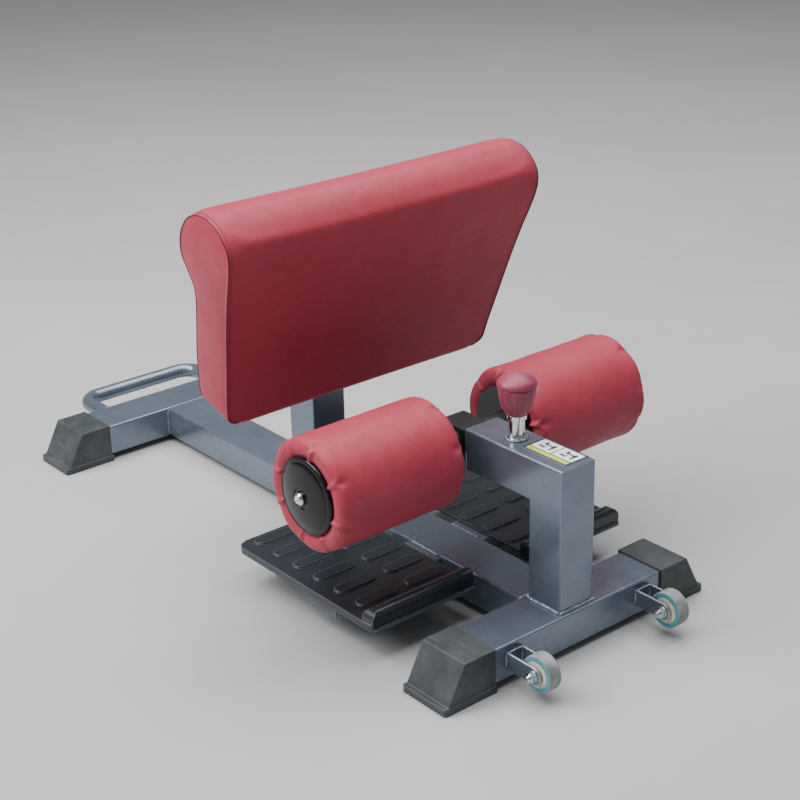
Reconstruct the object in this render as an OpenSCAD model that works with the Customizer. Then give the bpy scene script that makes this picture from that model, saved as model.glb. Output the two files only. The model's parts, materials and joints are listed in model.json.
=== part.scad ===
// Roman chair: a floor base with two foot plates, a forward-leaning calf pad and two ankle rollers
// on a carriage that slides in the front arm. Millimetres. +X is the right side seen from the
// front, +Y runs from the transport wheels to the rear handle and +Z is up. The origin is on the
// floor, under the middle of the overall length and width.

/* [Base frame] */
// Length over both crossbars
base_len = 1005; // [980:5:1040]
// Width over the rubber feet
base_w = 476; // [470:2:500]
// Height of the main beam and the crossbars
beam_h = 50; // [46:1:54]
// Width of the main beam, and depth of each crossbar
beam_w = 75; // [74:1:78]
// Wall thickness of the beams
beam_wall = 3; // [2:0.5:4]
// Gap between the beams and the floor
ground_gap = 10; // [9:1:12]

/* [Posts and arm] */
// Width of the square post and arm tubes
post_w = 60; // [60:0.5:61]
// Height of the arm's top face above the floor
arm_top = 264; // [255:1:280]
// Distance from the front of the base to the open end of the arm
arm_end = 188; // [180:1:190]
// Distance from the front of the base to the rear post
rear_post_y = 528; // [528:1:534]
// Height of the rear post's top above the floor
rear_post_top = 454; // [450:1:480]

/* [Roller carriage] */
// Width of the sliding tube
slider_w = 45; // [44:0.5:45]
// Distance from the front of the base to the roller axle
roller_y = 219; // [218:0.5:222]
// Diameter of each roller cushion
roller_d = 150; // [120:1:160]
// Length of each roller cushion
roller_len = 200; // [180:1:210]
// Distance from the middle to each roller's inner end
roller_gap = 70; // [66:1:80]
// Spacing of the adjustment holes
hole_pitch = 25; // [20:0.5:25]

/* [Calf pad] */
// Forward lean of the pad from upright, in degrees
pad_lean = 18; // [15:0.5:19]
// Thickness of the pad's slab
pad_thick = 76; // [70:1:76]
// Radius of the roll along the pad's top edge
pad_roll_r = 56; // [52:1:60]
// Half width of the pad at its lower edge
pad_half_w = 233; // [200:1:235]

/* [Foot plates] */
// Length of each foot plate from its front lip to its rear edge
plate_len = 304; // [290:1:310]
// Distance from the middle to each plate's outer edge
plate_outer = 230; // [225:1:232]
// Thickness of the plate sheet
plate_sheet = 3; // [2:0.5:3]
// Rows of raised grip bars along each plate
grip_rows = 6; // [4:1:6]

/* [Wheels and handle] */
// Diameter of the transport wheels
wheel_d = 50; // [46:1:52]
// Distance from the middle to each wheel
wheel_x = 118; // [110:1:122]
// Diameter of the rear handle's tube
handle_d = 24.5; // [22:0.5:26]
// Reach of the handle behind the rear crossbar
handle_reach = 86; // [80:1:100]

/* [Hidden] */
$fn = 64;

paint = "slategray";
leather = "firebrick";
black = [0.12, 0.13, 0.14];
steel = "silver";

// Levels and stations of the base
beam_top = ground_gap + beam_h;
tube_r = 3;
reach_front = 50 + wheel_d / 2;
reach_rear = base_len + handle_reach + handle_d / 2;
y_middle = (reach_rear - reach_front) / 2;

// Post and arm
post_wall = 2.5;
post_y = 7.5;
post_mid_y = post_y + post_w / 2;
arm_mid_z = arm_top - post_w / 2;
arm_hole = post_w - 2 * post_wall;

// Rubber foot
cap_inner = 152;
cap_top_x = 203;
cap_skin = 2.5;
cap_wall = 3.5;
bar_half = 200;
flange_inner = 148;
flange_proud = 4;
grooves = 11;
groove_w = 2.6;
groove_pitch = 6;
groove_len = 40;
groove_deep = 1.6;

// Foot plate, measured from its front lip
plate_y = 148;
plate_inner = 53;
skirt_h = 10;
lip_w = 22;
lip_h = 17;
lip_r = 10;
lip_end_r = 16;
lip_inset = 2;
hem = 4;
plate_corner_r = 14;
grip_len = 66;
grip_w = 20;
grip_h = 2.5;
grip_x = [92, 176];
grip_y = 204;
grip_pitch = 46;

// Tube under the foot plates
support_y = 232;
support_w = 70;
support_h = 25;
support_end = 220;
support_wall = 2.5;

// Transport wheel
wheel_r = wheel_d / 2;
wheel_y = -50;
wheel_z = 38;
wheel_w = 20;
hub_r = 18;
ring_r = 23.5;
ring_deep = 1.5;
hub_bore_r = 6.06;
sleeve_r = 6;
bracket_half = 14.5;
bracket_sheet = 3;
bracket_h = 23.5;
bolt_r = 4;
washer_t = 1.6;

// Carriage
running_gap = 0.3;
slider_wall = 2;
slider_front = 22;
slider_back = 247;
liner_front = 100;
liner_rim = 3;
axle_r = 12.5;
axle_wall = 3;
axle_end = 264;
fit = 0.05;
core_r = 20;
core_wall = 3;
cap_r = 53.5;
cap_rise = 11;
stem_len = 30;
spacer_r = 17;
roller_end = roller_gap + roller_len;
roller_edge_r = 9;
button_r = 8.5;

// Spring pin
pin_y = 122;
pin_r = 5;
stem_r = 4;
pin_tip = arm_mid_z + slider_w / 2 + 0.7;
housing_r = 11;
housing_ring_r = 13;
housing_collar_r = 13.5;
housing_collar_h = 6;
housing_h = 35;
housing_top = arm_top + housing_h;
collar_z = arm_top + 4.2;
collar_h = 3;
collar_r = 7.5;
chamber_r = 7.8;
chamber_top = housing_top - 3;
spring_wire = 1.2;
spring_r = 6;
spring_turns = 7;
knob_h = 57;
knob_base_r = 14;
knob_rim_r = 26;
knob_rim_z = 40;
knob_flutes = 12;
flute_r = 4;

// Calf pad: u runs up the pad's face and v runs back through its thickness
pad_y = 443;
pad_z = 243;
pad_flare = 0.14;
pad_roll_u = 267;
pad_roll_v = 56;
pad_bulge_u = 247;
pad_bulge_r = 49;
pad_corner_r = 18;
board_t = 12;
board_u = [12, 196];
board_inset = 14;
mount_u = [30, 190];
mount_t = 5;
mount_half = 90;
mount_bolt_x = 65;
mount_bolt_u = [55, 165];
gusset_t = 6;
gusset_x = 24;
tee_r = 5.2;

// Handle
handle_x = 110;
handle_z = 45;
handle_bend = 30;
handle_wall = 2;
handle_y = base_len + handle_reach;

bead = 5;

function pad_point(u, v) = [pad_y - u * sin(pad_lean) + v * cos(pad_lean),
    pad_z + u * cos(pad_lean) + v * sin(pad_lean)];
function pad_half(u) = pad_half_w + pad_flare * u;

// Shared shapes

module in_frame() {
    translate([0, -y_middle, 0]) children();
}

module round_rect(w, h, r) {
    square([w - 2 * r, h], center = true);
    square([w, h - 2 * r], center = true);
    for (x = [-1, 1], y = [-1, 1])
        translate([x * (w / 2 - r), y * (h / 2 - r)]) circle(r);
}

module box_tube(w, h, len, wall) {
    linear_extrude(len) difference() {
        round_rect(w, h, tube_r);
        round_rect(w - 2 * wall, h - 2 * wall, 1);
    }
}

// A flat outline drawn as (Y, Z), made into a solid of the given width along X
module across(width) {
    translate([-width / 2, 0, 0]) rotate([90, 0, 90]) linear_extrude(width) children();
}

module along_x(x, y, z) {
    translate([x, y, z]) rotate([0, 90, 0]) children();
}

module ring(r_out, r_in, h) {
    difference() {
        cylinder(h = h, r = r_out);
        translate([0, 0, -1]) cylinder(h = h + 2, r = r_in);
    }
}

module hexagon(across_flats, h) {
    cylinder(h = h, r = across_flats / sqrt(3), $fn = 6);
}

module both_sides() {
    children();
    mirror([1, 0, 0]) children();
}

// Base frame

module main_beam() color(paint) in_frame() {
    translate([0, beam_w, ground_gap + beam_h / 2]) rotate([-90, 0, 0])
        box_tube(beam_w, beam_h, base_len - 2 * beam_w, beam_wall);
}

module crossbar(y) {
    along_x(-bar_half, y + beam_w / 2, ground_gap + beam_h / 2)
        box_tube(beam_h, beam_w, 2 * bar_half, beam_wall);
}

module front_crossbar() color(paint) in_frame() crossbar(0);

module rear_crossbar() color(paint) in_frame() crossbar(base_len - beam_w);

// Everything above and behind the mitre between the front post and the arm, or the other side of it
module mitre_half(upper) {
    translate([-post_w, post_y, arm_top]) rotate([-45, 0, 0])
        translate([0, -2 * post_w, upper ? 0 : -8 * post_w])
            cube([2 * post_w, 8 * post_w, 8 * post_w]);
}

module front_post() color(paint) in_frame() difference() {
    translate([0, post_mid_y, beam_top]) box_tube(post_w, post_w, arm_top - beam_top, post_wall);
    mitre_half(true);
}

module roller_arm() color(paint) in_frame() difference() {
    translate([0, post_y, arm_mid_z]) rotate([-90, 0, 0])
        box_tube(post_w, post_w, arm_end - post_y, post_wall);
    mitre_half(false);
    translate([0, pin_y, arm_mid_z]) cylinder(h = post_w, r = pin_r + 0.5);
}

module rear_post() color(paint) in_frame()
    translate([0, rear_post_y + post_w / 2, beam_top])
        box_tube(post_w, post_w, rear_post_top - beam_top, post_wall);

module rear_post_cap() color(black) in_frame()
    translate([0, rear_post_y + post_w / 2, rear_post_top]) {
        linear_extrude(3) round_rect(post_w, post_w, tube_r);
        translate([0, 0, 3]) linear_extrude(1.5) round_rect(post_w - 4, post_w - 4, tube_r);
        translate([0, 0, -14]) linear_extrude(14) round_rect(arm_hole - 0.2, arm_hole - 0.2, 1);
    }

module rear_handle() color(paint) in_frame() difference() {
    handle_path(handle_d / 2);
    handle_path(handle_d / 2 - handle_wall);
}

module handle_path(r) {
    both_sides() {
        translate([handle_x, base_len, handle_z]) rotate([-90, 0, 0])
            cylinder(h = handle_reach - handle_bend, r = r);
        translate([handle_x - handle_bend, handle_y - handle_bend, handle_z])
            rotate_extrude(angle = 90) translate([handle_bend, 0]) circle(r);
    }
    along_x(-handle_x + handle_bend, handle_y, handle_z)
        cylinder(h = 2 * (handle_x - handle_bend), r = r);
}

// Rubber foot over the right-hand end of a crossbar whose front face is at y
module foot_cap(y) {
    half = base_w / 2;
    difference() {
        union() {
            translate([0, y + beam_w / 2, 0]) rotate([90, 0, 0])
                linear_extrude(beam_w + 2 * cap_skin, center = true)
                    polygon([[cap_inner, ground_gap], [half - 7, ground_gap],
                        [cap_top_x, beam_top + cap_skin], [cap_inner, beam_top + cap_skin]]);
            translate([(flange_inner + half) / 2, y + beam_w / 2, 0])
                linear_extrude(ground_gap)
                    round_rect(half - flange_inner, beam_w + 2 * flange_proud, 4);
        }
        translate([flange_inner - 5, y, ground_gap])
            cube([bar_half - flange_inner + 5, beam_w, beam_h]);
        translate([0, y + beam_w - cap_wall, 0]) rotate([90, 0, 0])
            linear_extrude(beam_w - 2 * cap_wall)
                polygon([[bar_half - 1, ground_gap + cap_wall], [half - 14, ground_gap + cap_wall],
                    [cap_top_x - 1, beam_top - cap_wall], [bar_half - 1, beam_top - cap_wall]]);
        for (groove = [0 : grooves - 1])
            translate([half - groove_len, y + (beam_w - groove_w) / 2, -1])
                translate([0, (groove - (grooves - 1) / 2) * groove_pitch, 0])
                    cube([groove_len + 1, groove_w, groove_deep + 1]);
    }
}

module foot_cap_front_left() color(black) in_frame() mirror([1, 0, 0]) foot_cap(0);

module foot_cap_front_right() color(black) in_frame() foot_cap(0);

module foot_cap_rear_left() color(black) in_frame() mirror([1, 0, 0]) foot_cap(base_len - beam_w);

module foot_cap_rear_right() color(black) in_frame() foot_cap(base_len - beam_w);

// Foot plates

// Outline of the plate from the side, as (Y, Z): inset is the sheet's thickness for the hollow
module plate_outline(inset) {
    low = beam_top - skirt_h;
    translate([plate_y + inset, low - inset])
        square([plate_len - 2 * inset, skirt_h]);
    translate([plate_y + lip_w / 2, (low + beam_top + lip_h) / 2 - inset])
        round_rect(lip_w - 2 * inset, skirt_h + lip_h, lip_r - inset);
    translate([plate_y + inset, low - inset]) square([lip_w - 2 * inset, lip_r]);
}

module plate_plan() {
    w = plate_outer - plate_inner;
    intersection() {
        translate([plate_inner, plate_y - hem]) square([w, plate_len + hem]);
        union() {
            translate([plate_inner + w / 2 - plate_corner_r, plate_y - hem + plate_len / 2])
                round_rect(w + 2 * plate_corner_r, plate_len + hem, plate_corner_r);
            translate([plate_inner, plate_y - hem]) square([w - plate_corner_r, plate_len / 2]);
            translate([plate_inner, plate_y + plate_len - plate_corner_r])
                square([w - plate_corner_r, plate_corner_r]);
        }
    }
}

// Rounds the outer end of the lip, seen from the front as (X, Z)
module lip_end(inset) {
    top = beam_top + lip_h;
    translate([0, plate_y + plate_len, 0]) rotate([90, 0, 0]) linear_extrude(plate_len + hem) {
        translate([plate_inner, 0]) square([plate_outer - lip_inset - lip_end_r - plate_inner, top]);
        translate([plate_inner, 0]) square([plate_outer - plate_inner, beam_top - inset]);
        translate([plate_outer - lip_inset - lip_end_r, top - lip_end_r]) circle(lip_end_r - inset);
    }
}

module foot_plate() {
    w = plate_outer - plate_inner;
    mid = (plate_outer + plate_inner) / 2;
    difference() {
        intersection() {
            translate([mid, 0, 0]) across(w) {
                plate_outline(0);
                translate([plate_y - hem, beam_top - skirt_h]) square([hem + 1, plate_sheet]);
            }
            linear_extrude(beam_top + lip_h + 1) plate_plan();
            lip_end(0);
        }
        intersection() {
            translate([mid, 0, 0]) across(w - 2 * plate_sheet) plate_outline(plate_sheet);
            lip_end(plate_sheet);
        }
        translate([plate_inner - 1, plate_y + lip_w, 0])
            cube([w / 2, plate_len - lip_w - plate_sheet, beam_top - plate_sheet]);
    }
    for (x = grip_x, row = [0 : grip_rows - 1])
        translate([x, grip_y + row * grip_pitch, beam_top]) grip_bar();
}

module grip_bar() {
    reach = (grip_len - grip_w) / 2;
    linear_extrude(grip_h) {
        square([2 * reach, grip_w], center = true);
        for (side = [-1, 1]) translate([side * reach, 0]) circle(grip_w / 2);
    }
}

module foot_plate_left() color(black) in_frame() mirror([1, 0, 0]) foot_plate();

module foot_plate_right() color(black) in_frame() foot_plate();

module plate_support() {
    along_x(beam_w / 2, support_y + support_w / 2, beam_top - plate_sheet - support_h / 2)
        box_tube(support_h, support_w, support_end - beam_w / 2, support_wall);
}

module plate_support_left() color(paint) in_frame() mirror([1, 0, 0]) plate_support();

module plate_support_right() color(paint) in_frame() plate_support();

module support_plugs() color("gray") in_frame() both_sides() {
    inner = 2 * support_wall + 0.2;
    along_x(support_end, support_y + support_w / 2, beam_top - plate_sheet - support_h / 2) {
        linear_extrude(3) round_rect(support_h, support_w, tube_r);
        translate([0, 0, -14]) linear_extrude(14)
            round_rect(support_h - inner, support_w - inner, 1);
    }
}

// Transport wheels

module at_wheel(side) {
    translate([side * wheel_x, wheel_y, wheel_z]) rotate([0, 90, 0]) children();
}

module wheel_bracket(side) {
    translate([side * wheel_x, 0, wheel_z]) difference() {
        union() {
            translate([-bracket_half, -bracket_sheet, -bracket_h / 2])
                cube([2 * bracket_half, bracket_sheet, bracket_h]);
            for (x = [-bracket_half, bracket_half - bracket_sheet]) {
                translate([x, wheel_y, -bracket_h / 2])
                    cube([bracket_sheet, -wheel_y, bracket_h]);
                along_x(x, wheel_y, 0) cylinder(h = bracket_sheet, r = bracket_h / 2);
            }
        }
        along_x(-bracket_half - 1, wheel_y, 0)
            cylinder(h = 2 * bracket_half + 2, r = bolt_r + fit);
    }
}

module wheel_bracket_left() color(paint) in_frame() wheel_bracket(-1);

module wheel_bracket_right() color(paint) in_frame() wheel_bracket(1);

module wheel_tyre(side) {
    round_r = 1.5;
    at_wheel(side) rotate_extrude() difference() {
        translate([hub_r, -wheel_w / 2]) square([wheel_r - hub_r, wheel_w]);
        for (end = [-1, 1]) {
            translate([hub_r - 1, end > 0 ? wheel_w / 2 - ring_deep : -wheel_w / 2 - 1])
                square([ring_r - hub_r + 1, ring_deep + 1]);
            translate([wheel_r - round_r, end * (wheel_w / 2 - round_r)]) difference() {
                translate([0, end > 0 ? 0 : -2 * round_r]) square(2 * round_r);
                circle(round_r);
            }
        }
    }
}

module wheel_tyre_left() color("gray") in_frame() wheel_tyre(-1);

module wheel_tyre_right() color("gray") in_frame() wheel_tyre(1);

module wheel_ring(side) {
    at_wheel(side) for (z = [-wheel_w / 2, wheel_w / 2 - ring_deep])
        translate([0, 0, z]) ring(ring_r, hub_r, ring_deep);
}

module wheel_ring_left() color("cadetblue") in_frame() wheel_ring(-1);

module wheel_ring_right() color("cadetblue") in_frame() wheel_ring(1);

module wheel_hub(side) {
    at_wheel(side) translate([0, 0, -wheel_w / 2]) ring(hub_r, hub_bore_r, wheel_w);
}

module wheel_hub_left() color("beige") in_frame() wheel_hub(-1);

module wheel_hub_right() color("beige") in_frame() wheel_hub(1);

module wheel_bolts() color(steel) in_frame() for (side = [-1, 1]) at_wheel(side) {
    head = bracket_half + washer_t;
    translate([0, 0, -head - 11]) cylinder(h = 2 * head + 11, r = bolt_r);
    translate([0, 0, head]) hexagon(13, 5.5);
}

module wheel_nuts() color(steel) in_frame() for (side = [-1, 1]) at_wheel(side)
    translate([0, 0, -bracket_half - washer_t - 8]) difference() {
        union() {
            translate([0, 0, 2]) hexagon(13, 6);
            cylinder(h = 2, r = 5.8);
        }
        translate([0, 0, -1]) cylinder(h = 10, r = bolt_r + fit);
    }

module wheel_washers() color(steel) in_frame() for (side = [-1, 1], end = [-1, 1]) at_wheel(side)
    translate([0, 0, end > 0 ? bracket_half : -bracket_half - washer_t])
        ring(8, bolt_r + fit, washer_t);

module wheel_sleeves() color(steel) in_frame() for (side = [-1, 1]) at_wheel(side)
    translate([0, 0, -bracket_half + bracket_sheet])
        ring(sleeve_r, bolt_r + fit, 2 * (bracket_half - bracket_sheet));

// Arm fittings

module arm_liner() color(black) in_frame() difference() {
    union() {
        translate([0, liner_front, arm_mid_z]) rotate([-90, 0, 0])
            linear_extrude(arm_end - liner_front) round_rect(arm_hole - 0.1, arm_hole - 0.1, 1);
        translate([0, arm_end, arm_mid_z]) rotate([-90, 0, 0])
            linear_extrude(liner_rim) round_rect(post_w - 1, post_w - 1, tube_r);
    }
    translate([0, liner_front - 1, arm_mid_z]) rotate([-90, 0, 0])
        linear_extrude(arm_end - liner_front + liner_rim + 2)
            round_rect(slider_w + 2 * running_gap, slider_w + 2 * running_gap, 2);
    translate([0, pin_y, arm_mid_z]) cylinder(h = post_w, r = pin_r + 0.5);
}

module arm_label() color("white") in_frame()
    translate([7, 57.5, arm_top]) linear_extrude(0.5) round_rect(42, 80, 3);

module pin_housing() color(steel) in_frame() translate([0, pin_y, 0]) difference() {
    union() {
        translate([0, 0, arm_top]) cylinder(h = housing_h, r = housing_r);
        translate([0, 0, arm_top]) cylinder(h = 2.5, r = housing_ring_r);
        translate([0, 0, housing_top - housing_collar_h])
            cylinder(h = housing_collar_h, r = housing_collar_r);
    }
    translate([0, 0, arm_top - 1]) cylinder(h = 10, r = pin_r + fit);
    translate([0, 0, collar_z - 0.2]) cylinder(h = chamber_top - collar_z + 0.2, r = chamber_r);
    translate([0, 0, chamber_top - 1]) cylinder(h = 10, r = stem_r + fit);
}

module pin_plunger() color(steel) in_frame() translate([0, pin_y, 0]) {
    translate([0, 0, pin_tip]) cylinder(h = collar_z - pin_tip, r = pin_r);
    translate([0, 0, collar_z]) cylinder(h = collar_h, r = collar_r);
    translate([0, 0, collar_z + collar_h])
        cylinder(h = housing_top + 25 - collar_z - collar_h, r = stem_r);
}

// Coil spring between the collar and the top of its chamber, as a stack of closed turns
module pin_spring() color(steel) in_frame() {
    low = collar_z + collar_h + spring_wire / 2;
    pitch = (chamber_top - spring_wire / 2 - low) / (spring_turns - 1);
    for (turn = [0 : spring_turns - 1])
        translate([0, pin_y, low + turn * pitch])
            rotate_extrude() translate([spring_r, 0]) circle(spring_wire / 2);
}

module pin_knob() color("brown") in_frame() translate([0, pin_y, housing_top + 0.5]) difference() {
    dome_r = (knob_rim_r * knob_rim_r + pow(knob_h - knob_rim_z, 2)) / (2 * (knob_h - knob_rim_z));
    intersection() {
        rotate_extrude() polygon([[0, 0], [knob_base_r, 0], [knob_base_r + 3.5, 3],
            [knob_base_r + 8.5, knob_rim_z / 2], [knob_rim_r, knob_rim_z - 4],
            [knob_rim_r, knob_h], [0, knob_h]]);
        translate([0, 0, knob_h - dome_r]) sphere(dome_r);
    }
    translate([0, 0, -1]) cylinder(h = 25.5, r = stem_r);
    for (flute = [0 : knob_flutes - 1]) rotate([0, 0, (flute + 0.5) * 360 / knob_flutes])
        translate([knob_rim_r + 2, 0, -1]) cylinder(h = knob_h + 2, r = flute_r);
}

// Sliding carriage

module slider_tube() color(black) in_frame() difference() {
    translate([0, slider_front, arm_mid_z]) rotate([-90, 0, 0]) linear_extrude(slider_back - slider_front)
        difference() {
            round_rect(slider_w, slider_w, 2);
            round_rect(slider_w - 2 * slider_wall, slider_w - 2 * slider_wall, 1);
        }
    for (hole = [0 : 3])
        translate([0, pin_y - hole * hole_pitch, arm_mid_z]) cylinder(h = slider_w, r = pin_r + 0.5);
    along_x(-slider_w, roller_y, arm_mid_z) cylinder(h = 2 * slider_w, r = axle_r + fit);
}

module slider_plug() color(black) in_frame() translate([0, slider_back, arm_mid_z]) rotate([-90, 0, 0]) {
    inner = slider_w - 2 * slider_wall - 0.2;
    linear_extrude(3) round_rect(slider_w, slider_w, 2);
    translate([0, 0, -12]) linear_extrude(12) round_rect(inner, inner, 1);
}

module roller_axle() color(steel) in_frame() {
    along_x(-axle_end, roller_y, arm_mid_z) ring(axle_r, axle_r - axle_wall, 2 * axle_end);
    both_sides() along_x(axle_end - 30, roller_y, arm_mid_z) ring(axle_r - axle_wall, pin_r, 30);
}

module axle_spacers() color(black) in_frame() both_sides()
    along_x(slider_w / 2, roller_y, arm_mid_z)
        ring(spacer_r, axle_r + fit, roller_gap - 4.5 - slider_w / 2);

module axle_bolts() color(steel) in_frame() both_sides() {
    head = roller_end + cap_rise + 0.5;
    along_x(head - 42, roller_y, arm_mid_z) cylinder(h = 42, r = pin_r - fit);
    along_x(head, roller_y, arm_mid_z) difference() {
        union() {
            cylinder(h = 1.5, r = button_r);
            translate([0, 0, 1.5]) cylinder(h = 3, r1 = button_r, r2 = button_r - 3);
        }
        translate([0, 0, 1.5]) hexagon(6, 5);
    }
}

module roller_core() {
    along_x(roller_gap, roller_y, arm_mid_z) ring(core_r, core_r - core_wall, roller_len);
}

module roller_core_left() color(steel) in_frame() mirror([1, 0, 0]) roller_core();

module roller_core_right() color(steel) in_frame() roller_core();

module roller_cushion() {
    edge = roller_edge_r;
    half = roller_len / 2;
    along_x(roller_gap + half, roller_y, arm_mid_z) rotate_extrude() difference() {
        union() {
            translate([0, -half]) square([roller_d / 2 - edge, roller_len]);
            translate([0, -half + edge]) square([roller_d / 2, roller_len - 2 * edge]);
            for (end = [-1, 1]) intersection() {
                translate([roller_d / 2 - edge, end * (half - edge)]) circle(edge);
                translate([0, -half]) square([roller_d / 2, roller_len]);
            }
        }
        translate([-1, -half - 1]) square([core_r + 1, roller_len + 2]);
    }
}

module roller_cushion_left() color(leather) in_frame() mirror([1, 0, 0]) roller_cushion();

module roller_cushion_right() color(leather) in_frame() roller_cushion();

// Domed end cap whose stem fits the core and runs on the axle
module roller_cap_outer() {
    rim = 3;
    rise = cap_rise - rim;
    dome_r = (cap_r * cap_r + rise * rise) / (2 * rise);
    along_x(roller_end, roller_y, arm_mid_z) difference() {
        union() {
            intersection() {
                cylinder(h = cap_rise, r = cap_r);
                translate([0, 0, cap_rise - dome_r]) sphere(dome_r, $fn = 128);
            }
            translate([0, 0, -stem_len]) cylinder(h = stem_len, r = core_r - core_wall - fit);
        }
        translate([0, 0, -stem_len - 1]) cylinder(h = stem_len - 3, r = axle_r + fit);
        translate([0, 0, -5]) cylinder(h = 30, r = pin_r + 0.5);
    }
}

module roller_cap_outer_left() color(black) in_frame() mirror([1, 0, 0]) roller_cap_outer();

module roller_cap_outer_right() color(black) in_frame() roller_cap_outer();

module roller_cap_inner() {
    along_x(roller_gap - 4, roller_y, arm_mid_z) difference() {
        union() {
            cylinder(h = 4, r = cap_r);
            cylinder(h = stem_len, r = core_r - core_wall - fit);
        }
        translate([0, 0, -1]) cylinder(h = stem_len + 2, r = axle_r + fit);
    }
}

module roller_cap_inner_left() color(black) in_frame() mirror([1, 0, 0]) roller_cap_inner();

module roller_cap_inner_right() color(black) in_frame() roller_cap_inner();

// Calf pad

module at_pad() {
    translate([0, pad_y, pad_z]) rotate([pad_lean, 0, 0]) children();
}

// Trapezoid as (X, u) between two heights on the pad, inset from the pad's ends, from v to v + t
module pad_slice(u0, u1, inset, v, t) {
    translate([0, v + t, 0]) rotate([90, 0, 0]) linear_extrude(t)
        polygon([[-pad_half(u0) + inset, u0], [pad_half(u0) - inset, u0],
            [pad_half(u1) - inset, u1], [-pad_half(u1) + inset, u1]]);
}

module pad_outline() {
    r = pad_corner_r;
    square([pad_thick - r, pad_roll_u]);
    translate([0, r]) square([pad_thick, pad_roll_u - r]);
    translate([pad_thick - r, r]) circle(r);
    translate([pad_roll_v, pad_roll_u]) circle(pad_roll_r);
    translate([pad_roll_v, pad_bulge_u]) circle(pad_bulge_r);
}

module pad_cushion() color(leather) in_frame() at_pad() difference() {
    intersection() {
        across(700) pad_outline();
        pad_slice(-10, 400, 0, -20, 200);
    }
    pad_slice(board_u[0], board_u[1], board_inset, pad_thick - board_t, 60);
    pad_bolt_places() translate([0, 0, board_t - 2]) cylinder(h = 10, r = 12.5);
}

module pad_board() color("burlywood") in_frame() at_pad() difference() {
    pad_slice(board_u[0], board_u[1], board_inset, pad_thick - board_t, board_t);
    pad_bolt_places() translate([0, 0, -1]) cylinder(h = board_t + 2, r = tee_r + fit);
}

// Places children at the four pad bolts, with +Z forward into the pad from its back face
module pad_bolt_places() {
    for (x = [-mount_bolt_x, mount_bolt_x], u = mount_bolt_u)
        translate([x, pad_thick, u]) rotate([90, 0, 0]) children();
}

module pad_mount_plate() color(paint) in_frame() at_pad() difference() {
    translate([-mount_half, pad_thick, mount_u[0]])
        cube([2 * mount_half, mount_t, mount_u[1] - mount_u[0]]);
    pad_bolt_places() translate([0, 0, -mount_t - 1]) cylinder(h = mount_t + 2, r = bolt_r + 0.5);
}

module pad_bolts() color(steel) in_frame() at_pad() pad_bolt_places() {
    translate([0, 0, -mount_t - washer_t]) cylinder(h = 25, r = bolt_r);
    translate([0, 0, -mount_t - washer_t - 5.3]) hexagon(13, 5.3);
    translate([0, 0, -mount_t - washer_t]) ring(8, bolt_r - 0.5, washer_t);
}

module pad_tee_nuts() color(steel) in_frame() at_pad() pad_bolt_places() {
    translate([0, 0, 2]) ring(tee_r, bolt_r + fit, board_t - 2);
    translate([0, 0, board_t]) ring(11, bolt_r + fit, 1.5);
}

module pad_gussets() color(paint) in_frame() both_sides() {
    back = pad_thick + mount_t;
    low = pad_point(mount_u[0] + 4, back);
    high = pad_point(mount_u[1] - 4, back);
    translate([gusset_x + gusset_t / 2, 0, 0]) across(gusset_t)
        polygon([[rear_post_y, low[1] - 6], low, high, [rear_post_y, high[1]]]);
}

// Weld beads

// A bead along X at a corner whose walls face -Y and +Z
module bead_strip(len) {
    across(len) polygon([[0, 0], [-bead, 0], [0, bead]]);
}

module post_beads(y) {
    for (turn = [0 : 90 : 270])
        translate([0, y, beam_top]) rotate([0, 0, turn])
            translate([0, -post_w / 2, 0]) bead_strip(post_w - 2 * tube_r);
}

module upright_bead(x, y, z, len, sx, sy) {
    translate([x, y, z]) linear_extrude(len) polygon([[0, 0], [sx * bead, 0], [0, sy * bead]]);
}

module weld_beads() color("lightgray") in_frame() {
    post_beads(post_mid_y);
    post_beads(rear_post_y + post_w / 2);
    both_sides() {
        upright_bead(beam_w / 2, beam_w, ground_gap + tube_r, beam_h - 2 * tube_r, 1, 1);
        upright_bead(beam_w / 2, base_len - beam_w, ground_gap + tube_r, beam_h - 2 * tube_r, 1, -1);
        for (side = [-1, 1])
            upright_bead(wheel_x + side * bracket_half, 0, wheel_z - bracket_h / 2, bracket_h, side, -1);
        translate([beam_w / 2, support_y + tube_r, beam_top - plate_sheet]) rotate([-90, 0, 0])
            linear_extrude(support_w - 2 * tube_r) polygon([[0, 0], [bead, 0], [0, -plate_sheet]]);
        translate([handle_x, base_len, handle_z]) rotate([-90, 0, 0])
            rotate_extrude() translate([handle_d / 2, 0]) polygon([[0, 0], [4, 0], [0, 4]]);
    }
    translate([0, pin_y, arm_top])
        rotate_extrude() translate([housing_ring_r, 0]) polygon([[0, 0], [2.5, 0], [0, 2.5]]);
}

main_beam();
front_crossbar();
rear_crossbar();
front_post();
roller_arm();
rear_post();
rear_post_cap();
pad_gussets();
pad_mount_plate();
pad_board();
pad_cushion();
pad_bolts();
pad_tee_nuts();
foot_cap_front_left();
foot_cap_front_right();
foot_cap_rear_left();
foot_cap_rear_right();
foot_plate_left();
foot_plate_right();
plate_support_left();
plate_support_right();
support_plugs();
wheel_bracket_left();
wheel_bracket_right();
wheel_tyre_left();
wheel_tyre_right();
wheel_ring_left();
wheel_ring_right();
wheel_hub_left();
wheel_hub_right();
wheel_bolts();
wheel_nuts();
wheel_washers();
wheel_sleeves();
arm_liner();
arm_label();
pin_housing();
pin_plunger();
pin_spring();
pin_knob();
slider_tube();
slider_plug();
roller_axle();
axle_spacers();
axle_bolts();
roller_core_left();
roller_core_right();
roller_cushion_left();
roller_cushion_right();
roller_cap_outer_left();
roller_cap_outer_right();
roller_cap_inner_left();
roller_cap_inner_right();
rear_handle();
weld_beads();
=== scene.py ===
"""Looks of the roman chair: materials for every CAD node, the upholstery, the moulded and welded
pieces that the CAD keeps plain, a pale floor, soft light and the camera."""

import json
import math

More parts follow.
